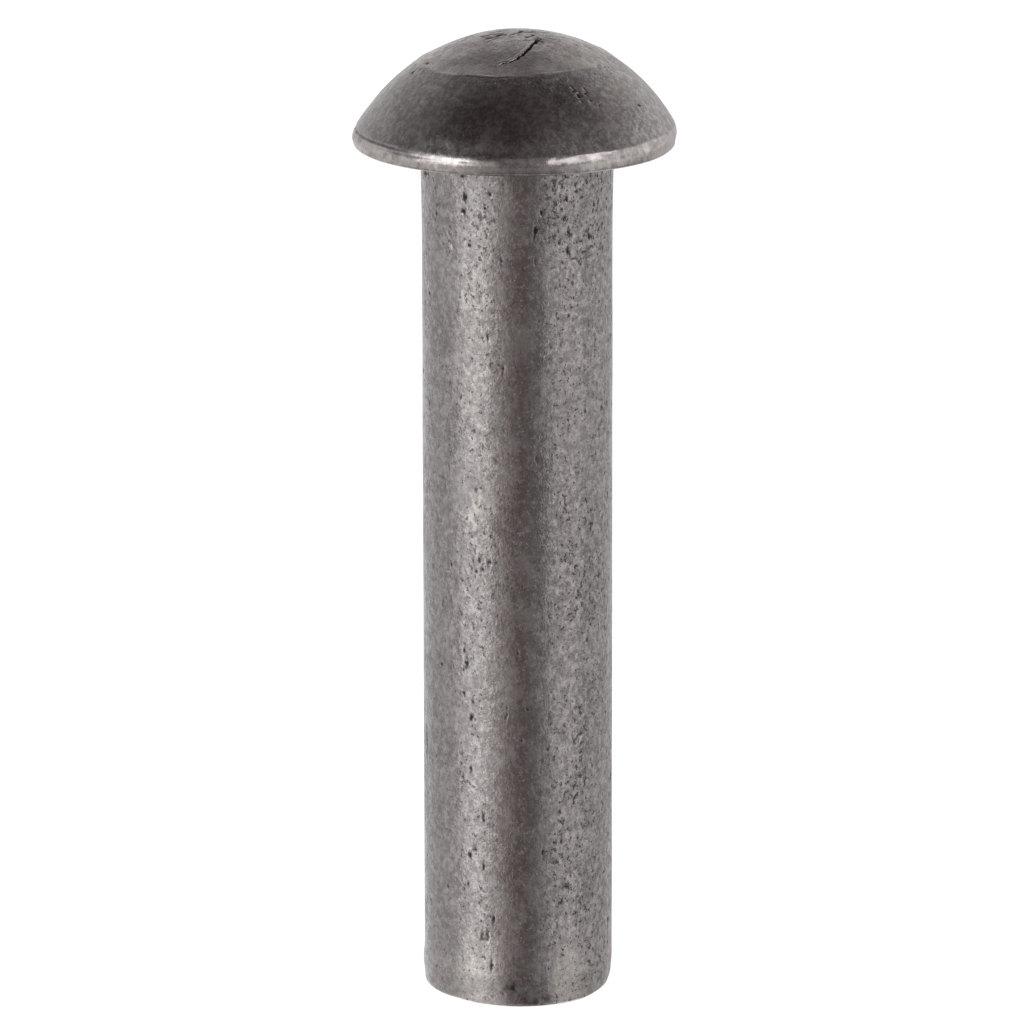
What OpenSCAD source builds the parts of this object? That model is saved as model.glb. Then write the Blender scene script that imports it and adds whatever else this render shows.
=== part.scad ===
// Round head rivet: a solid steel rivet, cold headed from wire in one blow.
// It is one piece. Z = 0 is the bearing face under the head and the Z axis is the shank's axis,
// with the head above the face and the shank below it. All sizes are in millimetres.

/* [Shank] */
// Diameter of the shank
shank_d = 6; // [4.6:0.1:7.6]
// Length of the shank, from the bearing face to the tail end
shank_l = 27.6; // [10:0.1:60]
// Radius that heading adds to the shank close under the head
swell = 0.03; // [0.01:0.01:0.1]
// Length of shank over which that swell runs out
swell_l = 2.4; // [1:0.1:5]
// Radius of the fillet between the shank and the bearing face
neck_r = 0.12; // [0.05:0.01:0.4]

/* [Head] */
// Diameter across the head's rim
head_d = 10.24; // [8:0.02:14]
// Height of the head above the bearing face
head_h = 3.56; // [2.6:0.02:5]
// Distance by which the head was upset off the shank's axis, towards -X
head_offset = 0.09; // [0:0.01:0.3]

/* [Rim] */
// Height of the crease where the dome meets the rim's bead
crease_h = 0.57; // [0.45:0.01:0.9]
// Distance of that crease in from the rim
crease_in = 0.1; // [0.04:0.01:0.15]
// Radius of the bead's shoulder, outside the crease
bead_r = 0.25; // [0.16:0.01:0.3]
// Radius of the edge between the rim and the bearing face
edge_r = 0.2; // [0.05:0.01:0.25]

/* [Tail end] */
// Length of shank that shearing drew in before the tail end
draw_l = 1; // [0.5:0.1:3]
// Radius that the shank loses over that length
draw_in = 0.07; // [0.02:0.01:0.15]
// Radius of the tumbled corner at the tail end
tail_r = 0.2; // [0.05:0.01:0.4]

/* [Hidden] */
$fn = 180;

shank_r = shank_d / 2;
head_r = head_d / 2;

// The dome is part of a ball, set by its top and by the crease ring that it ends in.
crease_r = head_r - crease_in;
rise = head_h - crease_h;
dome_r = (crease_r * crease_r + rise * rise) / (2 * rise);
dome_z = head_h - dome_r;

// The bead's shoulder is an arc that leaves the rim upright and reaches the crease.
bead_z = crease_h - sqrt(bead_r * bead_r - (bead_r - crease_in) * (bead_r - crease_in));
// Height at which the dome's flat foot lies hidden inside the bead
foot_z = crease_h - (crease_h - bead_z) / 10;

// Height inside the head to which the shank's core is carried up
core_z = crease_h / 2;

// The tail corner is an arc that touches the drawn-in wall and the flat end. It stands proud of
// the wall by a hair, because a bare touch would leave a sliver of a face between the two.
hair = 0.0002;
lean = atan(draw_in / draw_l);
tail_z = tail_r - shank_l;
tail_x = shank_r - draw_in + tail_r * tan(lean) - tail_r / cos(lean) + hair;

// One quarter of a plane, right of the axis and above a height, that keeps half a section
module right_of_axis(above) {
    translate([0, above])
        square(2 * dome_r);
}

// Half section of the ball-shaped dome, down to its foot inside the bead
module dome_section() {
    intersection() {
        translate([0, dome_z])
            circle(r = dome_r);
        right_of_axis(above = foot_z);
    }
}

// Half section of the disc under the dome: flat bearing face, rounded edge, wall and bead
module rim_section() {
    square([head_r - edge_r, foot_z]);
    translate([0, edge_r])
        square([head_r, bead_z - edge_r]);
    translate([head_r - edge_r, edge_r])
        circle(r = edge_r);
    translate([head_r - bead_r, bead_z])
        circle(r = bead_r);
}

// Half section of the shank: core in the head, swell, straight wall, drawn-in end and corner
module shank_section() {
    polygon([
        [0, core_z],
        [shank_r + swell, core_z],
        [shank_r + swell, -neck_r],
        [shank_r, -swell_l],
        [shank_r, draw_l - shank_l],
        [tail_x + (tail_r - hair) * cos(lean), tail_z - (tail_r - hair) * sin(lean)],
        [tail_x, tail_z],
        [tail_x, -shank_l],
        [0, -shank_l]
    ]);
    translate([tail_x, tail_z])
        circle(r = tail_r);
    neck_section();
}

// Half section of the fillet between the shank and the bearing face
module neck_section() {
    difference() {
        translate([shank_r, -neck_r])
            square([swell + neck_r, neck_r + core_z]);
        translate([shank_r + swell + neck_r, -neck_r])
            circle(r = neck_r);
    }
}

// Head, turned about its own axis beside the shank's
module head() {
    translate([-head_offset, 0, 0])
        rotate_extrude()
            union() {
                dome_section();
                rim_section();
            }
}

// Shank, turned about the part's axis
module shank() {
    rotate_extrude()
        shank_section();
}

// The rivet, forged in one piece
module rivet() {
    color("#8c8987")
        union() {
            head();
            shank();
        }
}

rivet();
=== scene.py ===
"""A round head rivet of plain steel, standing on its tail end on a pale floor in soft studio light.

The rivet is one piece. Its mesh is turned from a half section, as on a lathe, and then the marks of its
making are worked in: the head that sits a little off the shank, the uneven bead round the rim, the ring
and the tear on the cap, the sheared patch at the top, and the pits that scale and tumbling leave.
Lengths are in millimetres here and in metres in the meshes. A bearing is an angle round the rivet's
axis, in degrees from the front (-Y) towards +X.
"""

import logging
import math
import random
from collections.abc import Callable
from dataclasses import dataclass, field
from enum import Enum
from functools import partial

import bpy
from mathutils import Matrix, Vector, noise


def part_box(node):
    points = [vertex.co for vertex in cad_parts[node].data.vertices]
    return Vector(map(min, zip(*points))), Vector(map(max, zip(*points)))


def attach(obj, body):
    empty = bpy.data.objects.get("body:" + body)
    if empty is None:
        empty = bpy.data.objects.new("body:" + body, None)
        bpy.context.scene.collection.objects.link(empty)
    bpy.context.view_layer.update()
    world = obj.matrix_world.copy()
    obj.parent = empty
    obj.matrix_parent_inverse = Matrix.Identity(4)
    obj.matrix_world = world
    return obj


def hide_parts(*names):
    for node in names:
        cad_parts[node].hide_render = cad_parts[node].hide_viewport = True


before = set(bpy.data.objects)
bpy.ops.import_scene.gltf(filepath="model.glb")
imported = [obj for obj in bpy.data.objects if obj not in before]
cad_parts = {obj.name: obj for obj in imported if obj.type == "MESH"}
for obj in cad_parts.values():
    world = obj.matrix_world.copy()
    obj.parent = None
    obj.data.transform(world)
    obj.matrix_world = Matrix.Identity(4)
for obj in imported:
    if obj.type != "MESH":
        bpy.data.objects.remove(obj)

MM = 0.001
NODE = "rivet"
BODY = "root"
MARKS = "marks"
POLISH_AND_HIGHLIGHT = "polish"
FAR = 9.0
LAMP_REACH = 500.0
LEAST_WEIGHT = 0.002

log = logging.getLogger("rivet")


class Along(Enum):
    """What a mark moves the surface along, as the Displace modifier calls it."""

    NORMAL = "NORMAL"
    X = "X"
    Z = "Z"


class Kind(Enum):
    """A node with one of its options set, as its type, the option's name and its value."""

    RAMP = ("MapRange", "interpolation_type", "SMOOTHSTEP")
    PLUS = ("Math", "operation", "ADD")
    MINUS = ("Math", "operation", "SUBTRACT")
    TIMES = ("Math", "operation", "MULTIPLY")
    TIMES_PLUS = ("Math", "operation", "MULTIPLY_ADD")
    LARGER = ("Math", "operation", "MAXIMUM")
    UNSIGNED = ("Math", "operation", "ABSOLUTE")
    DOT = ("VectorMath", "operation", "DOT_PRODUCT")


# --------------------------------------------------------------------------------------------------
# Colour and node helpers


def linear(hex_colour: str) -> tuple[float, float, float, float]:
    """Turns an sRGB hex colour into linear light.

    Args:
        hex_colour: Six hex digits after a hash, such as "#8c8987".

    Returns:
        Linear red, green and blue, and an alpha of 1.
    """
    channels = [int(hex_colour[i : i + 2], 16) / 255 for i in (1, 3, 5)]
    light = [c / 12.92 if c <= 0.04045 else ((c + 0.055) / 1.055) ** 2.4 for c in channels]
    return (light[0], light[1], light[2], 1.0)


def add_node(
    tree: bpy.types.NodeTree, kind: str | Kind, *sources: object, out: int | str = 0, **settings: object
) -> bpy.types.NodeSocket:
    """Adds one node to a tree, sets it up, links its inputs and gives one of its outputs.

    Args:
        tree: The node tree to add to.
        kind: Blender's name for the node type, without "ShaderNode", or a kind with an option.
        sources: What goes into the inputs in order, each an output socket or a constant.
        out: Name or number of the output to give.
        settings: Inputs by name, and properties of the node itself.

    Returns:
        The output socket.
    """
    if isinstance(kind, Kind):
        kind, option, value = kind.value
        settings[option] = value
    node = tree.nodes.new("ShaderNode" + kind)
    inputs: dict[int | str, object] = dict(enumerate(sources))
    for name, value in settings.items():
        if name in node.inputs:
            inputs[name] = value
        else:
            setattr(node, name, value)
    for name, source in inputs.items():
        if isinstance(source, bpy.types.NodeSocket):
            tree.links.new(source, node.inputs[name])
        else:
            node.inputs[name].default_value = source
    return node.outputs[out]


# --------------------------------------------------------------------------------------------------
# Shape helpers


def ease(t: float) -> float:
    """Eases a value from 0 to 1, and holds it there outside."""
    t = min(max(t, 0.0), 1.0)
    return t * t * (3 - 2 * t)


def fade(value: float, full: float, none: float) -> float:
    """Gives 1 up to the value full and 0 from the value none on, eased between them."""
    return 1 - ease((value - full) / (none - full))


def bearing(p: Vector) -> float:
    """Gives the bearing of a place round the Z axis, in degrees."""
    return math.degrees(math.atan2(p.x, -p.y))


def lumps(p: Vector, size: float, seed: float) -> float:
    """Gives smooth noise from 0 to 1.

    Args:
        p: Place in millimetres.
        size: Size of its lumps in millimetres.
        seed: Number that sets this noise apart from others.

    Returns:
        The noise at the place.
    """
    return min(max(0.5 + 0.7 * noise.noise(p / size + Vector((seed, seed, seed))), 0.0), 1.0)


def line_gap(here: Vector, line: list[Vector]) -> tuple[float, float, float]:
    """Finds where a place lies along a line of straight stretches in a plane.

    Args:
        here: The place.
        line: The line's points.

    Returns:
        How far the place is from the line, how far along the line it is from 0 to 1, and 1 on the
        line's right side or -1 on its left.
    """
    best = (FAR, 0.0, 1.0)
    stretches = list(zip(line, line[1:]))
    for i, (a, b) in enumerate(stretches):
        step = b - a
        t = min(max((here - a).dot(step) / step.length_squared, 0.0), 1.0)
        away = here - a - step * t
        if away.length < best[0]:
            side = 1.0 if step.cross(away) < 0 else -1.0
            best = (away.length, (i + t) / len(stretches), side)
    return best


def deselect_all() -> None:
    """Leaves object mode with nothing selected."""
    if bpy.context.mode != "OBJECT":
        bpy.ops.object.mode_set(mode="OBJECT")
    bpy.ops.object.select_all(action="DESELECT")


def pick(piece: bpy.types.Object) -> None:
    """Makes one object the selected and active one."""
    deselect_all()
    piece.select_set(True)
    bpy.context.view_layer.objects.active = piece


@dataclass
class Profile:
    """A half section, as points of radius and height in millimetres, drawn stroke by stroke."""

    points: list[tuple[float, float]] = field(default_factory=list)

    def start(self, r: float, z: float) -> None:
        """Sets the first point."""
        self.points = [(r, z)]

    def line(self, r: float, z: float, steps: int) -> None:
        """Draws a straight stroke from the last point in equal steps."""
        r0, z0 = self.points[-1]
        for i in range(1, steps + 1):
            t = i / steps
            self.points.append((r0 + (r - r0) * t, z0 + (z - z0) * t))

    def arc(self, centre: tuple[float, float], radius: float, start: float, end: float, steps: int) -> None:
        """Draws an arc in equal steps.

        Args:
            centre: Radius and height of the arc's centre.
            radius: Radius of the arc.
            start: Angle at which it starts, in radians from the horizontal.
            end: Angle at which it ends.
            steps: Number of steps.
        """
        for i in range(1, steps + 1):
            a = start + (end - start) * i / steps
            self.points.append((centre[0] + radius * math.cos(a), centre[1] + radius * math.sin(a)))


def turn(name: str, profile: Profile, segments: int) -> bpy.types.Object:
    """Turns a half section round the Z axis into a closed mesh.

    A vertex is drawn along the section by extruding it, and the line is spun a full turn.

    Args:
        name: Name of the new object.
        profile: The half section. It starts and ends on the axis.
        segments: Number of steps in the turn.

    Returns:
        The new object, with its place in its mesh.
    """
    deselect_all()
    bpy.ops.mesh.primitive_plane_add(size=MM, location=(0, 0, 0))
    piece = bpy.context.object
    piece.name = name
    bpy.ops.object.mode_set(mode="EDIT")
    bpy.ops.mesh.select_mode(type="VERT")
    bpy.ops.mesh.select_all(action="SELECT")
    bpy.ops.mesh.merge(type="CENTER")
    places = [Vector((r * MM, 0.0, z * MM)) for r, z in profile.points]
    bpy.ops.transform.translate(value=places[0])
    for here, there in zip(places, places[1:]):
        bpy.ops.mesh.extrude_region_move(TRANSFORM_OT_translate={"value": there - here})
    bpy.ops.mesh.select_all(action="SELECT")
    bpy.ops.mesh.spin(steps=segments, angle=2 * math.pi, center=(0, 0, 0), axis=(0, 0, 1))
    bpy.ops.mesh.select_all(action="SELECT")
    bpy.ops.mesh.remove_doubles(threshold=MM * 1e-3)
    bpy.ops.mesh.normals_make_consistent(inside=False)
    bpy.ops.object.mode_set(mode="OBJECT")
    return piece


def refine(piece: bpy.types.Object, wanted: Callable[[Vector], bool], cuts: int) -> None:
    """Cuts the faces of one region into smaller ones.

    Args:
        piece: The mesh object.
        wanted: Function from a face's middle in millimetres to whether it is cut.
        cuts: Number of cuts across each face.
    """
    pick(piece)
    mesh = piece.data
    mesh.vertices.foreach_set("select", [False] * len(mesh.vertices))
    mesh.edges.foreach_set("select", [False] * len(mesh.edges))
    mesh.polygons.foreach_set("select", [wanted(face.center / MM) for face in mesh.polygons])
    bpy.ops.object.mode_set(mode="EDIT")
    bpy.ops.mesh.select_mode(type="FACE")
    bpy.ops.mesh.subdivide(number_cuts=cuts)
    bpy.ops.object.mode_set(mode="OBJECT")


@dataclass(frozen=True)
class Mark:
    """One way in which the surface departs from the turned shape.

    Attributes:
        name: What it is.
        weight: Function from a place in millimetres to a weight from 0 to 1.
        depth: How far the surface moves where the weight is 1, in millimetres. Inward is negative.
        along: What it moves along.
        grime_and_shade: How dark the surface is where the weight is 1: dark with oxide, and in the crease
            groove and the tear also painted shade.
        rust: How brown it is there.
        scuff_and_sheen: How worn and pale it is there; on the bead's ends, low on the rim and at the
            shank's end this paleness is painted sheen and painted highlight.
        polish: How burnished it is there; on the bead's shoulder and at the tail's corner it is partly a
            painted highlight.
    """

    name: str
    weight: Callable[[Vector], float]
    depth: float = 0.0
    along: Along = Along.NORMAL
    grime_and_shade: float = 0.0
    rust: float = 0.0
    scuff_and_sheen: float = 0.0
    polish: float = 0.0


def work(piece: bpy.types.Object, marks: list[Mark]) -> None:
    """Works marks into a mesh, one after the other, and writes their finish down in attributes.

    Each mark is a vertex group, and a Displace modifier that is applied moves the surface by it.
    One attribute holds grime, rust and scuff as red, green and blue, and another holds polish. Grime also
    carries painted shade, and scuff and polish also carry painted sheen and highlights.

    Args:
        piece: The mesh object.
        marks: The marks in the order in which they are made.
    """
    mesh = piece.data
    colours = [[0.0, 0.0, 0.0, 1.0] for _ in mesh.vertices]
    polish = [0.0] * len(mesh.vertices)
    for mark in marks:
        group = piece.vertex_groups.new(name=mark.name)
        touched = 0
        for vertex in mesh.vertices:
            weight = mark.weight(vertex.co / MM)
            if weight < LEAST_WEIGHT:
                continue
            touched += 1
            group.add([vertex.index], weight, "REPLACE")
            colour = colours[vertex.index]
            for i, amount in enumerate((mark.grime_and_shade, mark.rust, mark.scuff_and_sheen)):
                colour[i] = max(colour[i], amount * weight)
            polish[vertex.index] = max(polish[vertex.index], mark.polish * weight)
        if mark.depth:
            pick(piece)
            bpy.ops.object.modifier_add(type="DISPLACE")
            press = piece.modifiers[-1]
            press.vertex_group = mark.name
            press.direction = mark.along.value
            press.mid_level = 0.0
            press.strength = mark.depth * MM
            bpy.ops.object.modifier_apply(modifier=press.name)
        piece.vertex_groups.clear()
        log.info("%s: %d vertices", mark.name, touched)
    layer = mesh.attributes.new(MARKS, "FLOAT_COLOR", "POINT")
    layer.data.foreach_set("color", [channel for colour in colours for channel in colour])
    mesh.attributes.new(POLISH_AND_HIGHLIGHT, "FLOAT", "POINT").data.foreach_set("value", polish)


# --------------------------------------------------------------------------------------------------
# The rivet's parts


@dataclass
class Tail:
    """The tail end: the last of the shank, drawn in a little where the wire was sheared off."""

    draw_l: float = 1.0
    draw_in: float = 0.07
    corner_r: float = 0.14
    skew: float = 0.085
    dent: tuple[float, float, float] = (-0.22, -2.97, -26.9)

    def strokes(self, p: Profile, shank_r: float, floor: float) -> None:
        """Draws the flat end, its corner and the drawn-in length."""
        lean = math.atan2(self.draw_in, self.draw_l)
        flat_r = shank_r - self.draw_in + self.corner_r * (math.tan(lean) - 1 / math.cos(lean))
        p.start(0.0, floor)
        p.line(flat_r, floor, 3)
        p.arc((flat_r, floor + self.corner_r), self.corner_r, -math.pi / 2, -lean, 7)
        p.line(shank_r, floor + self.draw_l, 10)

    def marks(self, floor: float, radius: float) -> list[Mark]:
        """Gives the skew of the sheared end, its uneven corner, its dent, the rust, the worn corner with
        its partly painted highlight, and the painted highlight low on the shank.
        """

        def skewed(p: Vector) -> float:
            """Weighs the side on which the end was cut short."""
            return max(-p.x / radius, 0.0) * fade(p.z - floor, 0.15, 0.9)

        def uneven(p: Vector) -> float:
            """Weighs the unevenness of the corner."""
            return fade(p.z - floor, 0.25, 0.8) * lumps(p, 0.9, 17.0) if p.xy.length > 1.5 else 0.0

        def worn_right(p: Vector) -> float:
            """Weighs the right of the corner, which is worn more."""
            return fade(-p.x, -2.9, -1.8) * fade(p.z - floor, 0.05, 0.45)

        def full_left(p: Vector) -> float:
            """Weighs the left of the end, which is hardly drawn in."""
            return fade(p.x, -2.8, -1.7) * fade(p.z - floor, 0.7, 1.4)

        def dented(p: Vector) -> float:
            """Weighs the dirt in and round the dent in the corner."""
            gap = (p - Vector(self.dent)).length * (0.4 + 1.2 * lumps(p, 0.13, 31.0))
            return fade(gap, 0.08, 0.34) * (0.35 + 0.65 * ease(2.5 * lumps(p, 0.09, 32.0) - 0.8))

        def rust(p: Vector) -> float:
            """Weighs the rust, in patches to the right of the dent."""
            patch = fade(abs(bearing(p) - 9), 6, 17) * fade(abs(p.z - floor - 0.25), 0.1, 0.35)
            return patch * ease(2.4 * lumps(p, 0.16, 5.0) - 0.8) if p.xy.length > 2.4 else 0.0

        def rubbed_and_sheen(p: Vector) -> float:
            """Weighs the corner, which rubs bright and whose polish is partly a painted highlight along the
            bottom edge.
            """
            edge = fade(p.z - floor, 0.2, 0.4) * (0.4 + 0.6 * lumps(p, 0.3, 41.0))
            return edge if p.xy.length > 2.5 else 0.0

        def paled(p: Vector) -> float:
            """Weighs the end of the shank to the left and right of the front, painted pale as a painted
            highlight that carries the shank's bright reflection stripes down to the tail.
            """
            low = fade(p.z - floor, 0.6, 3.0) * (1 - fade(abs(bearing(p) - 6), 8, 20))
            beside = 0.3 + 0.7 * fade(abs(abs(bearing(p) - 4) - 30), 8, 20)
            return low * beside * (0.5 + 0.5 * lumps(p, 0.7, 44.0)) if p.xy.length > 2.5 else 0.0

        return [
            Mark("tail_skew", skewed, depth=self.skew, along=Along.Z),
            Mark("corner", uneven, depth=-0.02),
            Mark("corner_right", worn_right, depth=-0.07),
            Mark("full_left", full_left, depth=-0.055, along=Along.X),
            Mark("tail_dent", dented, depth=-0.02, grime_and_shade=1.0),
            Mark("tail_rust", rust, depth=-0.004, grime_and_shade=0.25, rust=0.6),
            Mark("tail_rubbed_and_highlight", rubbed_and_sheen, polish=0.35),
            Mark("tail_pale", paled, scuff_and_sheen=0.9),
        ]


@dataclass(frozen=True)
class Pit:
    """A pit in the shank: the bearing and height of its middle, and its size."""

    bearing: float
    z: float
    width: float = 0.13
    height: float = 0.13

    def weight(self, p: Vector, radius: float) -> float:
        """Weighs the pit at a place on the shank."""
        if abs(p.z - self.z) > self.height:
            return 0.0
        across = math.radians(bearing(p) - self.bearing) * radius / (self.width / 2)
        if abs(across) > 2:
            return 0.0
        gap = math.hypot(across, (p.z - self.z) / (self.height / 2))
        return fade(gap * (0.3 + 1.3 * lumps(p, 0.06, 3.0)), 0.4, 0.95)

    def near(self, p: Vector, radius: float) -> bool:
        """Tells whether a place on the shank lies by the pit."""
        reach = 0.06
        if abs(p.z - self.z) > self.height / 2 + 2 * reach:
            return False
        return math.radians(abs(bearing(p) - self.bearing)) * radius < self.width / 2 + reach


@dataclass(frozen=True)
class Scar:
    """A line knocked or scratched into the shank: bearings and heights along it, and its width."""

    points: tuple[tuple[float, float], ...]
    width: float = 0.08

    def weight(self, p: Vector, radius: float) -> float:
        """Weighs the scar at a place on the shank."""
        half = self.width / 2 * (0.5 + lumps(p, 0.08, 51.0))
        return fade(self.gap(p, radius), 0.3 * half, half)

    def near(self, p: Vector, radius: float) -> bool:
        """Tells whether a place on the shank lies by the scar."""
        return self.gap(p, radius) < self.width / 2 + 0.09

    def gap(self, p: Vector, radius: float) -> float:
        """Gives how far a place on the shank is from the scar."""
        if abs(p.z - self.points[0][1]) > 1.2 or abs(bearing(p) - self.points[0][0]) > 25:
            return FAR
        here = Vector((math.radians(bearing(p)) * radius, p.z))
        return line_gap(here, [Vector((math.radians(b) * radius, z)) for b, z in self.points])[0]


def ring(where: float, z: float, across: float, start: float = 0, end: float = 360) -> Scar:
    """Makes a scar along a ring or a part of one.

    Args:
        where: Bearing of the ring's middle.
        z: Height of its middle.
        across: Its radius in millimetres.
        start: Angle at which it starts, in degrees from the horizontal.
        end: Angle at which it ends.

    Returns:
        The scar.
    """
    steps = 8
    angles = [math.radians(start + (end - start) * i / steps) for i in range(steps + 1)]
    degrees = math.degrees(across / Shank.r)
    return Scar(tuple((where + degrees * math.cos(a), z + across * math.sin(a)) for a in angles))


@dataclass
class Shank:
    """The shank: plain drawn wire, a little swollen under the head, pitted by scale and scarred."""

    r: float = 3.02
    length: float = 27.6
    swell: float = 0.04
    swell_l: float = 2.4
    neck_r: float = 0.12
    seen_pits: tuple[tuple[float, float, float, float], ...] = (
        (-70.8, -0.78, 0.42, 0.2), (-34.3, -0.56, 0.2, 0.2), (-32.9, -1.2, 0.22, 0.3),
        (-33.6, -1.68, 0.24, 0.28), (11.0, -2.2, 0.18, 0.4), (31.6, -2.95, 0.15, 0.32),
        (14.4, -1.63, 0.16, 0.18), (-9.7, -3.18, 0.13, 0.16), (-29.5, -2.74, 0.1, 0.1),
        (-57.0, -1.9, 0.1, 0.2), (48.7, -2.59, 0.13, 0.26), (52.5, -1.6, 0.1, 0.2),
        (30.6, -1.25, 0.1, 0.28), (32.0, -2.34, 0.16, 0.2), (29.2, -1.88, 0.13, 0.17),
        (-27.9, -12.95, 0.1, 0.14), (-28.6, -13.12, 0.09, 0.12), (-25.9, -13.25, 0.12, 0.09),
        (-23.4, -12.88, 0.08, 0.12), (-21.4, -13.14, 0.13, 0.13), (-25.6, -10.59, 0.15, 0.18),
        (-32.7, -16.29, 0.2, 0.28), (-34.1, -15.9, 0.12, 0.16), (-29.2, -18.04, 0.19, 0.18),
        (-34.9, -17.26, 0.14, 0.16), (-28.5, -17.54, 0.12, 0.14), (30.7, -23.65, 0.19, 0.2),
        (27.2, -24.12, 0.16, 0.18), (-27.2, -22.43, 0.16, 0.14), (-30.7, -22.6, 0.16, 0.26),
        (-32.1, -23.56, 0.12, 0.1), (-35.1, -23.76, 0.12, 0.1), (-48.3, -23.83, 0.12, 0.1),
        (-14.8, -24.62, 0.12, 0.14), (22.4, -22.13, 0.15, 0.16), (15.4, -22.4, 0.13, 0.16),
        (-16.5, -26.2, 0.1, 0.34), (-74.8, -19.3, 0.08, 0.95),
    )
    scattered: int = 110
    bright_dents: tuple[tuple[float, float, float, float], ...] = (
        (-33.0, -4.47, 0.4, 0.3), (-26.0, -11.1, 0.4, 0.3), (-28.5, -11.5, 0.3, 0.24),
    )

    def pits(self) -> list[Pit]:
        """Gives the pits seen from the front, and others scattered all round, denser by the head."""
        out = [Pit(*row) for row in self.seen_pits]
        dice = random.Random(11)
        for _ in range(self.scattered):
            where = dice.uniform(-180, 180)
            z = -self.length * (0.03 + 0.93 * dice.random() ** 1.3)
            out.append(Pit(where, z, dice.uniform(0.08, 0.15), dice.uniform(0.08, 0.18)))
        return out

    def pitted_rings(self) -> list[Scar]:
        """Gives the pit that is a ring, where a loose grain of scale was pressed in."""
        return [ring(-20.6, -25.25, 0.12)]

    def scratches(self) -> list[Scar]:
        """Gives the pale scratches, knocked in when the rivets were tumbled."""
        return [
            ring(-26.3, -6.5, 0.42, 195, 350),
            Scar(((-47.1, -2.4), (-44.6, -2.6), (-42.1, -2.95)), 0.09),
            Scar(((7.8, -9.68), (11.6, -9.9), (15.2, -10.12)), 0.06),
        ]

    def strokes(self, p: Profile) -> None:
        """Draws the shank from the top of the tail up to the neck."""
        p.line(self.r, -self.swell_l, 96)
        p.line(self.r + self.swell, -self.neck_r, 12)
        p.arc((self.r + self.swell + self.neck_r, -self.neck_r), self.neck_r, math.pi, math.pi / 2, 4)

    def on_side(self, p: Vector) -> bool:
        """Tells whether a place lies on the shank's side."""
        return p.z < -0.2 and p.xy.length > 0.8 * self.r

    def near_any(self, spots: list[Pit | Scar]) -> Callable[[Vector], bool]:
        """Makes the test for whether a face lies by one of the spots."""
        return lambda p: self.on_side(p) and any(spot.near(p, self.r) for spot in spots)

    def on_any(self, spots: list[Pit | Scar]) -> Callable[[Vector], float]:
        """Makes the weight of all the spots."""
        return lambda p: max(spot.weight(p, self.r) for spot in spots) if self.on_side(p) else 0.0

    def marks(self, pits: list[Pit]) -> list[Mark]:
        """Gives the waviness of the wire, its pits, its ring, its bright dents and its scratches."""

        def wavy(p: Vector) -> float:
            """Weighs slow waves along the shank."""
            return lumps(Vector((p.x, p.y, p.z * 0.55)), 1.5, 2.0) if p.z < -0.2 else 0.0

        dents = [Pit(*row) for row in self.bright_dents]
        return [
            Mark("waves", wavy, depth=-0.013),
            Mark("pits", self.on_any(pits), depth=-0.03, grime_and_shade=1.0),
            Mark("rings", self.on_any(self.pitted_rings()), depth=-0.03, grime_and_shade=0.7),
            Mark("dents", self.on_any(dents), depth=-0.045, scuff_and_sheen=0.9, polish=1.0),
            Mark("scratches", self.on_any(self.scratches()), depth=-0.01, scuff_and_sheen=1.0, polish=0.6),
        ]


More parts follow.
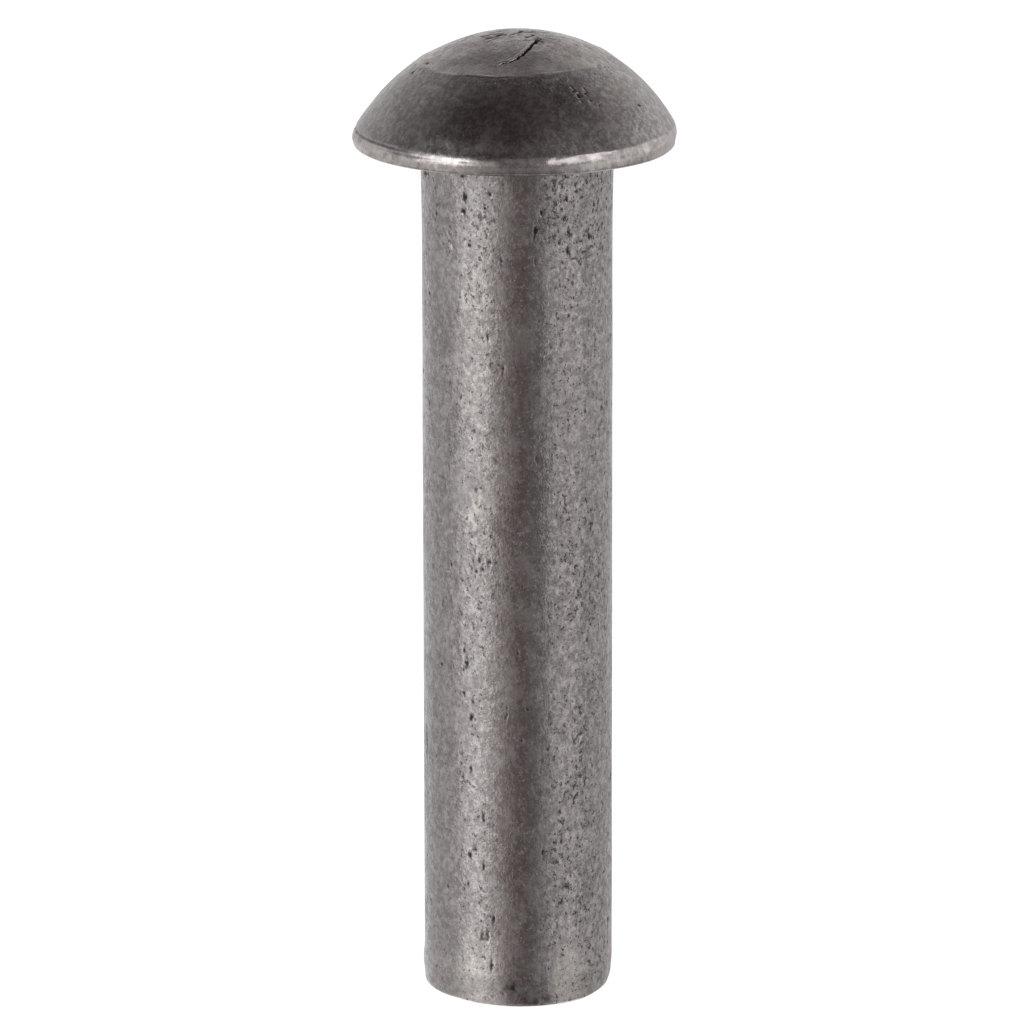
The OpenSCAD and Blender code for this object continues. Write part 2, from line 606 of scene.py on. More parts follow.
@dataclass
class Head:
    """The round head, upset from the wire in one blow, with a bead of spread metal at its rim."""

    r: float = 5.118
    h: float = 3.557
    offset: float = 0.056
    crease_h: float = 0.57
    crease_in: float = 0.1
    bead_r: float = 0.9
    edge_r: float = 0.11
    tilt: float = 0.016
    ring_r: float = 3.02
    ring_x: float = -0.12
    tear: tuple[tuple[float, float], ...] = (
        (0.66, -0.84), (0.57, -1.12), (0.45, -1.36), (0.4, -1.58), (0.28, -1.78), (0.2, -1.97),
        (0.08, -2.08), (0.01, -2.21), (-0.12, -2.26), (-0.25, -2.37), (-0.42, -2.36), (-0.57, -2.43),
    )
    tear_w: float = 0.075
    gouges: tuple[tuple[tuple[float, float], tuple[float, float]], ...] = (
        ((-0.84, 0.2), (-0.34, 0.36)), ((-1.04, -0.2), (-0.48, -0.1)),
        ((-0.9, -0.62), (-0.38, -0.34)), ((-0.24, -0.48), (0.14, 0.02)),
        ((0.31, -0.72), (0.52, -0.36)), ((0.12, 0.26), (0.62, 0.2)),
    )
    chips: tuple[tuple[float, float, float], ...] = (
        (1.92, -3.2, 0.2), (1.74, -3.13, 0.12), (2.12, -3.02, 0.12), (2.55, -3.17, 0.1),
        (-3.25, -0.89, 0.12), (-2.81, -0.89, 0.13), (3.81, -1.97, 0.13),
    )
    nicks: tuple[tuple[float, float, float], ...] = (
        (1.98, -3.36, 0.12), (1.68, -3.03, 0.12), (2.08, -2.9, 0.12), (2.25, -3.22, 0.1),
        (-3.03, -2.67, 0.09), (-1.19, -1.43, 0.1), (3.76, -2.89, 0.1), (3.74, -2.82, 0.08),
    )

    def strokes(self, p: Profile) -> None:
        """Draws the bearing face, the rim and the dome, up to the top."""
        bead_z = self.crease_h - math.sqrt(self.bead_r**2 - (self.bead_r - self.crease_in) ** 2)
        crease_r = self.r - self.crease_in
        rise = self.h - self.crease_h
        dome_r = (crease_r**2 + rise**2) / (2 * rise)
        centre = (0.0, self.h - dome_r)
        bead_end = math.acos(1 - self.crease_in / self.bead_r)
        foot = math.acos(crease_r / dome_r)
        cap = math.acos(2.7 / dome_r)
        top = math.acos(0.6 / dome_r)
        p.line(self.r - self.edge_r, 0.0, 6)
        p.arc((self.r - self.edge_r, self.edge_r), self.edge_r, -math.pi / 2, 0.0, 8)
        p.line(self.r, bead_z, 1)
        p.arc((self.r - self.bead_r, bead_z), self.bead_r, 0.0, bead_end, 10)
        p.arc(centre, dome_r, foot, cap, 40)
        p.arc(centre, dome_r, cap, top, 40)
        p.arc(centre, dome_r, top, math.pi / 2, 5)

    def ring_gap(self, p: Vector) -> float:
        """Gives how far outside the ring a place lies."""
        wander = 0.08 * (lumps(p, 0.9, 12.0) - 0.5)
        return Vector((p.x - self.ring_x, p.y)).length - self.ring_r + wander

    def tear_place(self, p: Vector) -> tuple[float, float, float]:
        """Finds where a place lies along the tear, as line_gap gives it."""
        return line_gap(Vector((p.x, p.y)), [Vector(point) for point in self.tear])

    def near_tear(self, p: Vector) -> bool:
        """Tells whether a face lies on the worked front of the cap."""
        in_front = math.hypot(p.x, p.y + 1.45) < 1.35
        return p.z > 2.7 and (in_front or abs(p.x) < 1.2 and -1.2 < p.y < 0.7)

    def by_tear(self, p: Vector) -> bool:
        """Tells whether a face lies right beside the tear."""
        return p.z > 2.7 and self.tear_place(p)[0] < 0.16

    def on_bead(self, p: Vector) -> bool:
        """Tells whether a face lies on the front of the bead, where its ragged shoulder shows."""
        return 0.15 < p.z < 0.7 and p.xy.length > 4.7 and p.y < 0.6

    def by_ring(self, p: Vector) -> bool:
        """Tells whether a face lies by the front of the ring."""
        return p.z > 2.3 and p.y < -1.0 and abs(self.ring_gap(p)) < 0.13

    def near_spot(self, p: Vector) -> bool:
        """Tells whether a face lies by a chip or a nick."""
        return p.z > 0.7 and any(math.hypot(p.x - x, p.y - y) < s for x, y, s in self.chips + self.nicks)

    def spots(self, places: tuple[tuple[float, float, float], ...]) -> Callable[[Vector], float]:
        """Makes the weight of small round spots on the dome, given as places and sizes."""

        def weight(p: Vector) -> float:
            """Weighs the nearest spot."""
            out = 0.0
            for x, y, size in places:
                gap = math.hypot(p.x - x, p.y - y) if p.z > 0.7 else FAR
                if gap < size:
                    out = max(out, fade(gap * (0.7 + 0.6 * lumps(p, 0.07, 22.0)), 0.2 * size, 0.5 * size))
            return out

        return weight

    def crease_marks(self) -> list[Mark]:
        """Gives the marks that follow the crease: its groove with painted shade, and the bright, pale and
        dirty bead, with a painted highlight on its shoulder, painted sheen on its ends, painted shade low
        on its front left and a painted highlight low on the rim.
        """

        def groove(p: Vector) -> float:
            """Weighs the groove, which is darkened with painted shade."""
            line = fade(abs(p.z - self.crease_h - 0.015), 0.012, 0.05) * fade(bearing(p), -52, -40)
            return line * (0.5 + 0.5 * lumps(p, 0.5, 13.0)) if p.xy.length > 4.7 else 0.0

        def pale_ends(p: Vector) -> float:
            """Weighs the bead away from the front, painted pale there as a painted sheen for its brighter
            ends.
            """
            if p.xy.length < 4.8 or p.z <= 0:
                return 0.0
            zone = fade(-abs(bearing(p) - 4), -58, -36) * fade(p.z - self.crease_h, -0.04, 0.01)
            return zone * (0.6 + 0.4 * lumps(p, 0.3, 38.0))

        def stained(p: Vector) -> float:
            """Weighs the brown stain on the upright rim, on the front left, which is partly painted shade
            that darkens the rim below the left highlight.
            """
            zone = fade(abs(p.z - 0.17), 0.1, 0.2) * fade(abs(bearing(p) + 20), 16, 26)
            return zone * (0.5 + 0.5 * lumps(p, 0.3, 43.0)) if p.xy.length > 4.8 else 0.0

        def burnish_and_highlight(p: Vector) -> float:
            """Weighs the bead, worn bright up to a ragged line under the crease. This is partly a painted
            highlight: it is held to the shoulder, where the softboxes' highlights lie, and is full round
            bearing 24, where the right highlight falls.
            """
            if p.xy.length < 4.8 or p.z < -0.02:
                return 0.0
            ragged = 0.08 * (lumps(p, 0.22, 19.0) - 0.5)
            edge = fade(p.z + ragged, self.crease_h - 0.03, self.crease_h + 0.02)
            shoulder = 0.1 + 0.9 * ease((p.z - 0.32) / 0.13)
            rubbed_and_sheen = 0.4 + 0.6 * ease(1.6 * lumps(p, 0.3, 20.0) - 0.3)
            # Painted highlight: full brightness where the right softbox's highlight falls.
            rubbed_and_sheen = max(rubbed_and_sheen, fade(abs(bearing(p) - 24), 13, 22))
            return edge * shoulder * rubbed_and_sheen * (1 - 0.9 * pale_ends(p))

        def spotted(p: Vector) -> float:
            """Weighs the dirt and the small knocks on the bead."""
            if p.xy.length < 4.8 or not 0.02 < p.z < self.crease_h:
                return 0.0
            return ease(4 * lumps(p, 0.3, 36.0) - 2.2) * (0.4 + 0.6 * lumps(p, 0.1, 37.0))

        def pale_line(p: Vector) -> float:
            """Weighs the pale line low on the rim, a painted highlight where its lower part catches the
            light.
            """
            line = fade(abs(p.z - 0.21), 0.03, 0.09) * fade(-bearing(p), 8, 22)
            return line * (0.6 + 0.4 * lumps(p, 0.5, 42.0)) if p.xy.length > 4.8 else 0.0

        return [
            # Painted shade: the groove's grime darkens the crease.
            Mark("crease_groove", groove, depth=-0.018, grime_and_shade=0.75),
            Mark("bead_burnish_and_highlight", burnish_and_highlight, polish=1.0),
            Mark("bead_spots", spotted, grime_and_shade=0.2, rust=0.3),
            Mark("bead_pale_ends", pale_ends, scuff_and_sheen=1.0, rust=0.03),
            Mark("rim_stain_and_shade", stained, grime_and_shade=0.22, rust=0.3),
            Mark("rim_line", pale_line, scuff_and_sheen=1.0, rust=0.1),
        ]

    def seat_marks(self) -> list[Mark]:
        """Gives the marks that set the whole head: its shift, its tilt and its uneven sides."""

        def shifted(p: Vector) -> float:
            """Weighs the head, blended out over the bearing face."""
            if p.z < -0.001:
                return 0.0
            return 1.0 if p.z > 0.001 else fade(-p.xy.length, -4.7, -3.3)

        def rising(sign: float) -> Callable[[Vector], float]:
            """Makes the weight of one side of the tilt."""
            return lambda p: max(sign * (p.x + self.offset) / self.r, 0.0) * ease(p.z / 0.55)

        def low_rim(p: Vector) -> float:
            """Weighs the lower edge of the rim, blended out over the bearing face."""
            return ease((p.xy.length - 3.6) / 1.1) * fade(p.z, 0.05, 0.4) if p.z > -0.001 else 0.0

        def flank(p: Vector) -> float:
            """Weighs the flank of the dome, which is a little flatter than an arc."""
            return fade(abs(p.z - 1.9), 0.8, 1.5)

        def end(side: float, full: float, none: float) -> Callable[[Vector], float]:
            """Makes the weight of the low rim at one end of the head, up to a height."""
            return lambda p: fade(-side * p.x, -5.0, -4.0) * fade(p.z, full, none)

        def left_bulge(p: Vector) -> float:
            """Weighs the left end of the rim, which spreads out."""
            return fade(p.x, -5.1, -4.3) * fade(abs(p.z - 0.5), 0.3, 0.8)

        return [
            Mark("offset", shifted, depth=-self.offset, along=Along.X),
            Mark("tilt_right", rising(1.0), depth=self.tilt * self.r, along=Along.Z),
            Mark("tilt_left", rising(-1.0), depth=-self.tilt * self.r, along=Along.Z),
            Mark("low_rim", low_rim, depth=-0.028, along=Along.Z),
            Mark("flank", flank, depth=-0.014),
            Mark("cap_lean", lambda p: ease((p.z - 2.0) / 1.2), depth=0.03, along=Along.X),
            Mark("top_lean", lambda p: ease((p.z - 3.2) / 0.3), depth=-0.05, along=Along.X),
            Mark("right_foot", end(1.0, 0.05, 0.4), depth=-0.07, along=Along.X),
            Mark("left_bulge", left_bulge, depth=-0.04, along=Along.X),
            Mark("left_foot", end(-1.0, 0.04, 0.26), depth=0.045, along=Along.X),
        ]

    def rim_marks(self) -> list[Mark]:
        """Gives the marks that shape the bead: slow waves, the ragged shoulder and the low front."""

        def waves(p: Vector) -> float:
            """Weighs slow waves round the bead."""
            zone = ease(p.z / 0.12) * fade(p.z, 0.36, 0.58)
            return zone * lumps(p, 0.8, 8.0) if p.xy.length > 4.6 else 0.0

        def ragged(p: Vector) -> float:
            """Weighs the ragged upper shoulder."""
            zone = fade(abs(p.z - 0.48), 0.03, 0.13)
            return zone * lumps(p, 0.28, 9.0) if p.xy.length > 4.7 else 0.0

        def front(p: Vector) -> float:
            """Weighs the front of the crease, which lies a little lower."""
            zone = fade(abs(bearing(p) + 12), 18, 52) * fade(abs(p.z - self.crease_h), 0.12, 0.45)
            return zone if p.xy.length > 4.2 else 0.0

        return [
            Mark("bead_waves", waves, depth=-0.025),
            Mark("bead_shoulder", ragged, depth=-0.009),
            Mark("crease_low", front, depth=-0.04, along=Along.Z),
        ]

    def cap_marks(self) -> list[Mark]:
        """Gives the marks on the cap: the worn cap, the ring, the sheared patch, the tear and chips."""

        def worn(p: Vector) -> float:
            """Weighs the worn cap, most of all its border inside the ring."""
            if p.z < 2.3:
                return 0.0
            border = 0.3 + 0.7 * ease((self.ring_gap(p) + 1.3) / 1.0)
            return fade(self.ring_gap(p), -0.1, 0.02) * border * (0.5 + 0.5 * lumps(p, 0.5, 4.0))

        def stained(p: Vector) -> float:
            """Weighs the faint brown stains on the cap."""
            inside = fade(self.ring_gap(p), -0.3, 0.3) if p.z > 2.3 else 0.0
            return inside * ease(2.0 * lumps(p, 0.8, 34.0) - 0.6)

        def right_scuffs(p: Vector) -> float:
            """Weighs the rubbed patches on the right flank of the dome."""
            if not 0.7 < p.z < 2.8:
                return 0.0
            zone = fade(abs(bearing(p) - 50), 14, 34) * fade(abs(p.z - 1.9), 0.3, 1.0)
            return zone * ease(3 * lumps(p, 0.4, 40.0) - 1.1)

        def swell(p: Vector) -> float:
            """Weighs the low swelling that the ring crests."""
            return max(1 - abs(self.ring_gap(p)) / 0.5, 0.0) ** 1.5 if p.z > 2.0 else 0.0

        def smudge(p: Vector) -> float:
            """Weighs the smudge round the upper end of the tear."""
            gap = math.hypot(p.x - self.tear[0][0] - 0.02, (p.y - self.tear[0][1]) * 0.55)
            return fade(gap, 0.08, 0.26) * ease(2.0 * lumps(p, 0.13, 24.0) - 0.2) if p.z > 3.0 else 0.0

        def ring_line(p: Vector) -> float:
            """Weighs the pale line of the ring."""
            line = fade(abs(self.ring_gap(p) + 0.04), 0.015, 0.06)
            return line * ease(2.2 * lumps(p, 0.4, 6.0) - 0.4) if p.z > 2.3 else 0.0

        def ring_shade(p: Vector) -> float:
            """Weighs the dark line just outside the ring, on its front left."""
            line = fade(abs(self.ring_gap(p) - 0.025), 0.012, 0.04) * fade(abs(bearing(p) + 21), 10, 16)
            return line * (0.5 + 0.5 * lumps(p, 0.2, 35.0)) if p.z > 2.3 else 0.0

        def patch(p: Vector) -> float:
            """Weighs the zone of the sheared patch at the top."""
            gap = Vector(((p.x - 0.05) / 1.35, (p.y + 0.05) / 1.25)).length
            return fade(gap + 0.35 * lumps(p, 0.35, 14.0), 0.75, 1.15) if p.z > 2.9 else 0.0

        def gouged(shift: float, seed: float) -> Callable[[Vector], float]:
            """Makes the weight of the patch's gouges, or of what lies beside them by a shift."""

            def weight(p: Vector) -> float:
                """Weighs the nearest gouge."""
                if p.z < 3.1:
                    return 0.0
                here = Vector((p.x, p.y + shift + 0.1 * (lumps(p, 0.2, 39.0) - 0.5)))
                gap = min(line_gap(here, [Vector(a), Vector(b)])[0] for a, b in self.gouges)
                return fade(gap * (0.5 + lumps(p, 0.14, seed)), 0.02, 0.09)

            return weight

        def rough(p: Vector) -> float:
            """Weighs the small lumps left on the patch."""
            return patch(p) * ease(3 * lumps(Vector((p.x * 0.7, p.y, 0.0)), 0.12, 14.5) - 1)

        def tear(p: Vector) -> float:
            """Weighs the open tear, wide at its upper end, which is darkened with painted shade."""
            if p.z < 2.7:
                return 0.0
            gap, along, _ = self.tear_place(p)
            half = self.tear_w * (1 - 0.5 * along) * (0.5 + 0.75 * lumps(p, 0.09, 21.0))
            return fade(gap, 0.4 * half, half)

        def lip(p: Vector) -> float:
            """Weighs the lip turned up on the tear's upper left side."""
            gap, along, side = self.tear_place(p) if p.z > 2.7 else (FAR, 0.0, 1.0)
            line = fade(abs(gap - 0.09), 0.02, 0.06) * fade(abs(along - 0.5), 0.35, 0.6)
            return line if side > 0 else 0.0

        return [
            Mark("worn_cap", worn, scuff_and_sheen=0.9),
            Mark("right_scuffs", right_scuffs, scuff_and_sheen=0.3, rust=0.25),
            Mark("stains", stained, rust=0.3),
            Mark("ring_swell", swell, depth=0.027),
            Mark("ring_line", ring_line, depth=0.01, scuff_and_sheen=1.0, polish=0.8),
            Mark("ring_shade", ring_shade, depth=-0.006, grime_and_shade=0.7),
            Mark("patch", patch, depth=-0.025, scuff_and_sheen=0.6, rust=0.1),
            Mark("rough_patch", rough, depth=0.01, scuff_and_sheen=0.8),
            Mark("ridges", gouged(0.18, 16.0), depth=0.018, scuff_and_sheen=1.0, polish=0.5),
            Mark("gouges", gouged(0.0, 15.0), depth=-0.03, grime_and_shade=0.8),
            Mark("tear_lip", lip, depth=0.012, scuff_and_sheen=1.0, polish=1.0),
            # Painted shade: the tear's grime darkens its depth.
            Mark("tear", tear, depth=-0.12, grime_and_shade=1.0),
            Mark("tear_smudge", smudge, depth=-0.02, grime_and_shade=0.85),
            Mark("chips", self.spots(self.chips), depth=-0.05, grime_and_shade=0.9),
            Mark("nicks", self.spots(self.nicks), depth=-0.015, scuff_and_sheen=1.0, polish=0.6),
        ]


@dataclass
class Rivet:
    """The whole rivet, forged in one piece."""

    tail: Tail = field(default_factory=Tail)
    shank: Shank = field(default_factory=Shank)
    head: Head = field(default_factory=Head)
    segments: int = 256
    front: float = 95.0

    def build(self) -> bpy.types.Object:
        """Turns the section and works the marks in.

        Returns:
            The rivet's mesh object.
        """
        floor = -self.shank.length
        section = Profile()
        self.tail.strokes(section, self.shank.r, floor)
        self.shank.strokes(section)
        self.head.strokes(section)
        piece = turn("rivet_forged", section, self.segments)
        pits = self.shank.pits()
        refine(piece, self.head.near_tear, 1)
        refine(piece, self.head.by_tear, 1)
        refine(piece, self.head.by_ring, 2)
        refine(piece, self.head.on_bead, 1)
        refine(piece, self.head.near_spot, 2)
        front = [pit for pit in pits if abs(pit.bearing) < self.front]
        back = [pit for pit in pits if pit not in front]
        refine(piece, self.shank.near_any(front), 2)
        refine(piece, self.shank.near_any(back), 1)
        refine(piece, self.shank.near_any(self.shank.pitted_rings() + self.shank.scratches()), 2)
        marks = self.head.crease_marks() + self.head.seat_marks()
        marks += self.head.rim_marks() + self.head.cap_marks()
        marks += self.shank.marks(pits) + self.tail.marks(floor, self.shank.r)
        work(piece, marks)
        pick(piece)
        bpy.ops.object.shade_smooth()
        triangles = sum(len(face.vertices) - 2 for face in piece.data.polygons)
        log.info("%s: %d triangles", piece.name, triangles)
        return piece


# --------------------------------------------------------------------------------------------------
# Steel


@dataclass(frozen=True)
class TumbledSteel:
    """Low-carbon steel wire, cold headed, then tumbled: satin grey, finely peened and pitted.

    The eye gets a soft, slightly warm grey sheen with stretched-out reflections, a fine sparkle of
    peened facets, dark pits where scale was pressed in, and dull oxide in the hollows. The oxide
    colour also paints shade into the crease groove and the tear, the rubbed colour also paints sheen
    on the bead's ends and highlights low on the rim and at the shank's end, and the burnished colour
    also paints the highlight on the bead's shoulder and the tail's corner. The facets differ in gloss
    on the wire and on the cap, and only by dome_share of that on the side of the dome, which the
    heading die pressed smooth.
    """

    bright: str = "#a29d9c"
    dull: str = "#928d8c"
    facet: str = "#bfbab9"
    dark: str = "#6c6766"
    # Also paints sheen on the bead's ends and highlights low on the rim and at the shank's end.
    rubbed_and_sheen: str = "#cdc6c2"
    # Also paints the highlight on the bead's shoulder and the tail's corner.
    burnish_and_highlight: str = "#b8b2b0"
    # Also painted shade in the crease groove and the tear.
    oxide_and_shade: str = "#1b1817"
    rust: str = "#5a3f36"
    shiny: float = 0.15
    matte: float = 0.42
    grain_mm: float = 0.2
    facet_mm: float = 0.22
    mottle_mm: float = 1.1
    peen_mm: float = 0.09
    speck_mm: float = 0.13
    draw_mm: float = 0.12
    peen_depth_mm: float = 0.01
    draw_depth_mm: float = 0.004
    speck_depth_mm: float = 0.008
    speck_dark: float = 0.55
    dome_share: float = 0.18

    def build(self) -> bpy.types.Material:
        """Makes the material."""
        material = bpy.data.materials.new("tumbled_steel")
        material.use_nodes = True
        tree = material.node_tree
        shader = tree.nodes["Principled BSDF"]
        add = partial(add_node, tree)
        here = add("TexCoord", out="Object")

        def clouds(
            size: float, stretch: float, detail: float, crisp: float, seed: float
        ) -> bpy.types.NodeSocket:
            """Makes noise with lumps of a size in millimetres, longer along Z, and finer ones on them."""
            scale = (1 / (size * MM), 1 / (size * MM), 1 / (size * MM * stretch))
            place = add("Mapping", here, Location=(seed, seed, seed), Scale=scale)
            return add("TexNoise", place, Scale=1.0, Detail=detail, Roughness=crisp)

        # Painted light rides in these channels: grime also holds painted shade in the crease groove and the
        # tear, scuff also holds painted sheen on the bead's ends and painted highlights low on the rim and
        # at the shank's end, and polish also holds the painted highlight on the bead's shoulder and the
        # tail's corner.
        grime_and_shade = add("SeparateColor", add("Attribute", attribute_name=MARKS))
        rust, scuff_and_sheen = grime_and_shade.node.outputs[1], grime_and_shade.node.outputs[2]
        polish = add("Attribute", out="Fac", attribute_name=POLISH_AND_HIGHLIGHT)
        across = add("SeparateXYZ", here, out="X")
        height = add("SeparateXYZ", here, out="Z")
        on_shank = add(Kind.RAMP, height, -0.2 * MM, 0.0, 1.0, 0.0)
        on_cap = add(Kind.RAMP, height, 2.2 * MM, 2.7 * MM)
        varied = add(Kind.RAMP, add(Kind.LARGER, on_shank, on_cap), 0.0, 1.0, self.dome_share, 1.0)

        mottle = clouds(self.mottle_mm, 1.4, 3.0, 0.7, 0.0)
        grain = clouds(self.grain_mm, 1.2, 3.0, 0.85, 3.0)
        peened = clouds(self.peen_mm, 1.0, 1.0, 0.6, 41.0)
        facets = clouds(self.facet_mm, 1.2, 4.0, 0.95, 11.0)
        facets = add(Kind.TIMES_PLUS, add(Kind.MINUS, mottle, 0.5), 0.7, facets)
        drawn = add(Kind.TIMES, clouds(self.draw_mm, 14.0, 2.0, 0.5, 5.0), on_shank)

        # The wire is rougher towards +X, and along its front it slid in the heading die, so that a
        # stripe there is smoother: lively is low in it, and 1 where the grain and the specks are full.
        right = add(Kind.RAMP, across, 0.3 * MM, 1.5 * MM, 0.0, 0.4)
        off_stripe = add(Kind.UNSIGNED, add(Kind.MINUS, across, 0.15 * MM))
        lively = add(Kind.RAMP, off_stripe, 0.3 * MM, 0.85 * MM, 0.5, 1.0)
        lively = add(Kind.TIMES_PLUS, right, 0.75, lively)
        lively = add(Kind.LARGER, lively, add(Kind.RAMP, on_shank, 0.0, 1.0, 1.0, 0.0))

        # Specks come in crowds, most of all under the head and towards +X.
        crowd = add(Kind.RAMP, clouds(1.3, 1.5, 2.0, 0.6, 7.0), 0.35, 0.65)
        crowd = add(Kind.PLUS, add(Kind.RAMP, height, -5.0 * MM, -1.0 * MM, 0.0, 0.7), crowd)
        crowd = add(Kind.TIMES, add(Kind.PLUS, crowd, right), on_shank)
        specks = add(Kind.TIMES_PLUS, crowd, 0.055, clouds(self.speck_mm, 1.2, 3.0, 0.65, 21.0))
        specks = add(Kind.TIMES, add(Kind.RAMP, specks, 0.632, 0.7), varied)
        specks = add(Kind.TIMES, specks, lively)
        dark = add(Kind.LARGER, add(Kind.TIMES, specks, self.speck_dark), grime_and_shade)

        matte = add(Kind.MINUS, add(Kind.RAMP, facets, 0.44, 0.58), 0.5)
        matte = add(Kind.TIMES_PLUS, matte, add(Kind.TIMES, varied, lively), 0.5)
        matte = add(Kind.TIMES, matte, add(Kind.MINUS, 1.0, polish))
        matte = add(Kind.LARGER, matte, add(Kind.TIMES, scuff_and_sheen, 0.5))
        rough = add(Kind.RAMP, matte, 0.0, 1.0, self.shiny, self.matte)
        rough = add(Kind.TIMES_PLUS, dark, 0.2, rough)

        colour = add("MixRGB", add(Kind.RAMP, mottle, 0.3, 0.7), linear(self.dull), linear(self.bright))
        # The rubbed, burnished and oxide coats paint sheen, highlights and shade where the marks above
        # carry them, as well as wear, burnish and oxide.
        coats = (
            (add(Kind.TIMES, add(Kind.RAMP, grain, 0.42, 0.7, 0.0, 0.8), lively), self.facet),
            (add(Kind.TIMES, add(Kind.RAMP, grain, 0.3, 0.56, 0.36, 0.0), lively), self.dark),
            (add(Kind.TIMES, scuff_and_sheen, add(Kind.RAMP, grain, 0.3, 0.65, 0.6, 1.0)), self.rubbed_and_sheen),
            (add(Kind.TIMES, polish, 0.75), self.burnish_and_highlight),
            (rust, self.rust),
            (dark, self.oxide_and_shade),
        )
        for amount, coat in coats:
            colour = add("MixRGB", amount, colour, linear(coat))

        relief = add(Kind.TIMES, peened, add(Kind.TIMES, varied, self.peen_depth_mm))
        relief = add(Kind.TIMES_PLUS, drawn, self.draw_depth_mm, relief)
        relief = add(Kind.TIMES_PLUS, specks, -self.speck_depth_mm, relief)

        tree.links.new(colour, shader.inputs["Base Color"])
        tree.links.new(rough, shader.inputs["Roughness"])
        tree.links.new(add(Kind.TIMES_PLUS, dark, -0.5, 1.0), shader.inputs["Metallic"])
        tree.links.new(add("Bump", Strength=1.0, Distance=MM, Height=relief), shader.inputs["Normal"])
        return material


# --------------------------------------------------------------------------------------------------
# Studio


def direction(side: float, height: float) -> Vector:
    """Gives the way towards a bearing and a height, both in degrees."""
    a, e = math.radians(side), math.radians(height)
    return Vector((math.sin(a) * math.cos(e), -math.cos(a) * math.cos(e), math.sin(e)))


@dataclass(frozen=True)
class Softbox:
    """A soft lamp that faces the rivet.

    Attributes:
        name: Its name.
        side: Bearing in which it hangs.
        height: Its height above the rivet's middle, in degrees.
        wide: Half the angle that it fills from side to side, seen from the rivet, in degrees.
        tall: Half the angle that it fills from top to bottom.
        radiance: How bright its face is, where 1 is white.
    """

    name: str
    side: float
    height: float
    wide: float
    tall: float
    radiance: float

    def hang(self, aim: Vector) -> None:
        """Hangs the lamp at its distance from the point that it aims at."""
        reach = LAMP_REACH * MM
        way = direction(self.side, self.height)
        deselect_all()
        bpy.ops.object.light_add(
            type="AREA", location=aim + way * reach, rotation=way.to_track_quat("Z", "Y").to_euler()
        )
        lamp = bpy.context.object
        lamp.name = self.name
        lamp.data.shape = "ELLIPSE"
        lamp.data.size = 2 * reach * math.tan(math.radians(self.wide))
        lamp.data.size_y = 2 * reach * math.tan(math.radians(self.tall))
        area = math.pi / 4 * lamp.data.size * lamp.data.size_y
        lamp.data.energy = self.radiance * math.pi * area


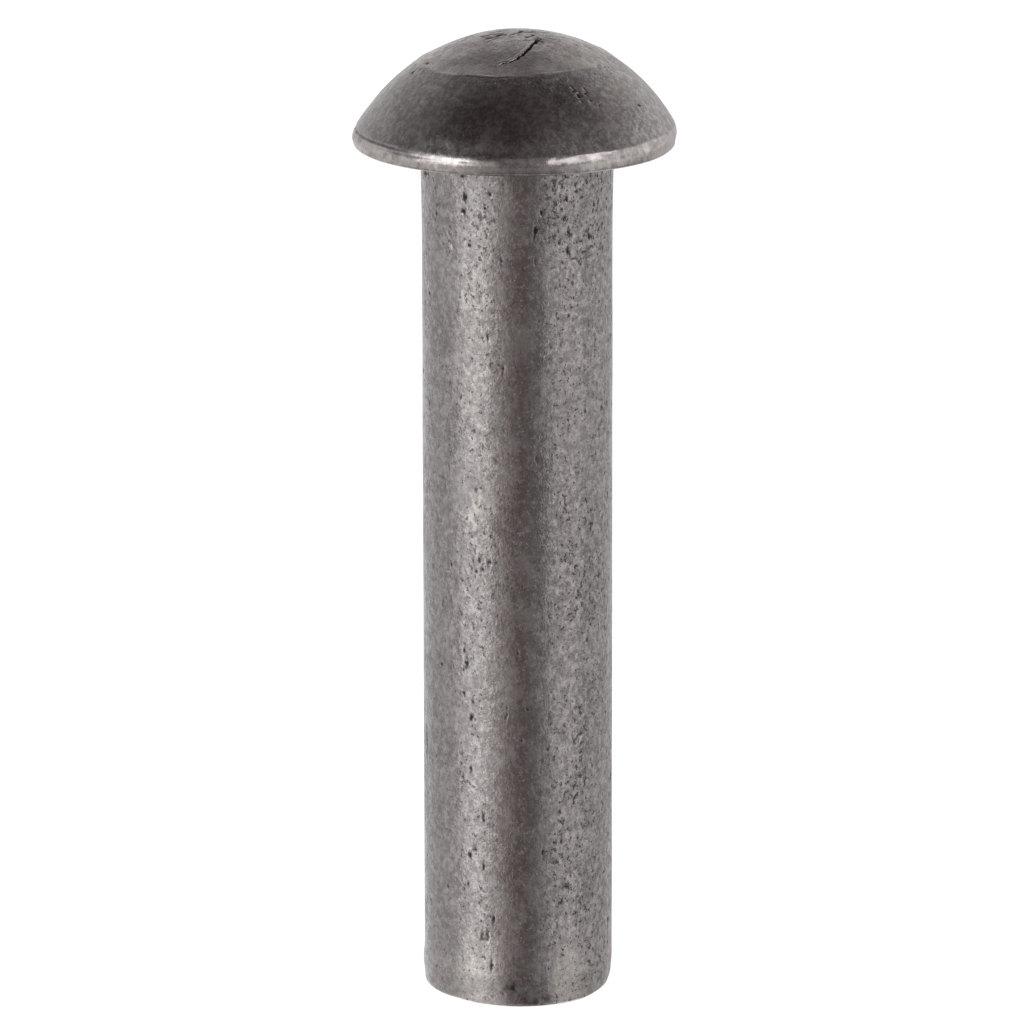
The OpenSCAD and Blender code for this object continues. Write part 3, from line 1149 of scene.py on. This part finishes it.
@dataclass
class Studio:
    """The pale floor, the lamps, the surroundings and the camera.

    A glow is a soft brighter or darker patch of the surroundings: its bearing and height, the angles
    round them up to which it is full and from which it is gone, all in degrees, and its strength.
    """

    floor_radius: float = 900.0
    pitch: float = 14.2
    roll: float = -0.1
    distance: float = 270.0
    lens: float = 298.25
    aim: tuple[float, float, float] = (-0.18, 0.0, -11.995)
    softboxes: tuple[Softbox, ...] = (
        Softbox("softbox_left", -56, 19, 19, 12, 1.75),
        Softbox("softbox_right", 49, 19, 26, 11, 1.35),
    )
    glows: tuple[tuple[float, float, float, float, float], ...] = (
        (-58, -16, 2, 62, 0.66), (-54, 3, 15, 35, 0.54), (56, 0, 2, 75, 0.30),
        (60, -10, 8, 32, 0.47), (92, -12, 4, 26, 0.14), (84, 6, 3, 20, 0.45),
        (110, 6, 3, 20, 0.5), (-88, 6, 3, 20, 0.2), (-110, 6, 3, 20, 0.3),
        (-54, -14, 4, 22, 0.24), (-135, 14, 4, 34, -0.12), (-107, 39, 5, 32, 0.06),
        (-28, 17, 4, 20, 0.5), (-4, 22, 8, 20, 0.14), (125, 22, 8, 48, 0.16),
        (146, -16, 8, 40, -0.16), (-130, -14, 10, 45, 0.05),
    )

    def camera(self) -> None:
        """Places the camera in front of the rivet, looking a little down on it."""
        pitch, roll = math.radians(self.pitch), math.radians(self.roll)
        back = Vector((0.0, -math.cos(pitch), math.sin(pitch)))
        place = (Vector(self.aim) + back * self.distance) * MM
        turned = (math.pi / 2 - pitch, -roll * math.cos(pitch), roll * math.sin(pitch))
        deselect_all()
        bpy.ops.object.camera_add(location=place, rotation=turned)
        camera = bpy.context.object
        camera.name = "camera"
        camera.data.sensor_width = 36.0
        camera.data.lens = self.lens
        camera.data.clip_start = 0.01
        camera.data.clip_end = 10.0
        bpy.context.scene.camera = camera

    def floor(self, height: float) -> None:
        """Lays the floor under the tail end."""
        deselect_all()
        bpy.ops.mesh.primitive_circle_add(
            vertices=96, radius=self.floor_radius * MM, fill_type="NGON", location=(0.0, 0.0, height)
        )
        floor = bpy.context.object
        floor.name = "floor"
        floor.visible_glossy = False
        material = bpy.data.materials.new("floor_paper")
        material.use_nodes = True
        tree = material.node_tree
        tree.nodes.remove(tree.nodes["Principled BSDF"])
        paper = add_node(tree, "BsdfDiffuse", linear("#f4f4f4"))
        lift = add_node(tree, "Emission", linear("#ffffff"), 0.8)
        seen = add_node(tree, "LightPath", out="Is Camera Ray")
        mixed = add_node(tree, "MixShader", seen, paper, add_node(tree, "AddShader", paper, lift))
        tree.links.new(mixed, tree.nodes["Material Output"].inputs["Surface"])
        floor.data.materials.append(material)

    def surroundings(self) -> None:
        """Sets the world: white to the camera, a dim studio with paler sides to the metal."""
        world = bpy.data.worlds.new("studio")
        bpy.context.scene.world = world
        world.use_nodes = True
        tree = world.node_tree
        add = partial(add_node, tree)
        way = add("TexCoord", out="Generated")
        rise = add("SeparateXYZ", way, out="Z")

        def glow(
            side: float, height: float, full: float, gone: float, strength: float
        ) -> bpy.types.NodeSocket:
            """Makes one glow."""
            near = add(Kind.DOT, way, direction(side, height), out="Value")
            edges = [math.cos(math.radians(angle)) for angle in (gone, full)]
            return add(Kind.RAMP, near, *edges, 0.0, strength)

        level: bpy.types.NodeSocket | float = 0.0
        for values in self.glows:
            level = add(Kind.PLUS, level, glow(*values))
        behind = add(Kind.RAMP, add("SeparateXYZ", way, out="Y"), -0.21, 0.82, 0.0, 0.79)
        level = add(Kind.TIMES_PLUS, behind, add(Kind.RAMP, rise, -0.13, 1.7, 1.0, 0.0), level)
        table = add(Kind.RAMP, rise, -0.6, -0.75, 0.0, 0.75)
        table = add(Kind.TIMES, table, add(Kind.RAMP, rise, -0.86, -0.97, 1.0, 0.1))

        white = linear("#ffffff")
        light = add("Background", white, add(Kind.PLUS, level, table))
        tints = (
            ("#ffe0dc", 0.01),
            ("#ffacae", glow(-8, -16, 0, 32, 0.07)),
            ("#ffede9", glow(0, 66, 0, 64, 0.055)),
        )
        for tint, strength in tints:
            light = add("AddShader", light, add("Background", linear(tint), strength))
        seen = add("LightPath", out="Is Camera Ray")
        mixed = add("MixShader", seen, light, add("Background", white, 1.0))
        tree.links.new(mixed, tree.nodes["World Output"].inputs["Surface"])

    def build(self, floor_height: float) -> None:
        """Sets up the whole studio."""
        self.camera()
        self.floor(floor_height)
        self.surroundings()
        for softbox in self.softboxes:
            softbox.hang(Vector(self.aim) * MM)
        bpy.context.scene.view_settings.view_transform = "Standard"


def main() -> None:
    """Builds the rivet and its studio."""
    logging.basicConfig(level=logging.INFO, format="%(name)s: %(message)s")
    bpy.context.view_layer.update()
    piece = Rivet().build()
    piece.data.materials.append(TumbledSteel().build())
    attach(piece, BODY)
    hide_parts(NODE)
    Studio().build(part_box(NODE)[0][2])


if __name__ == "__main__":
    main()
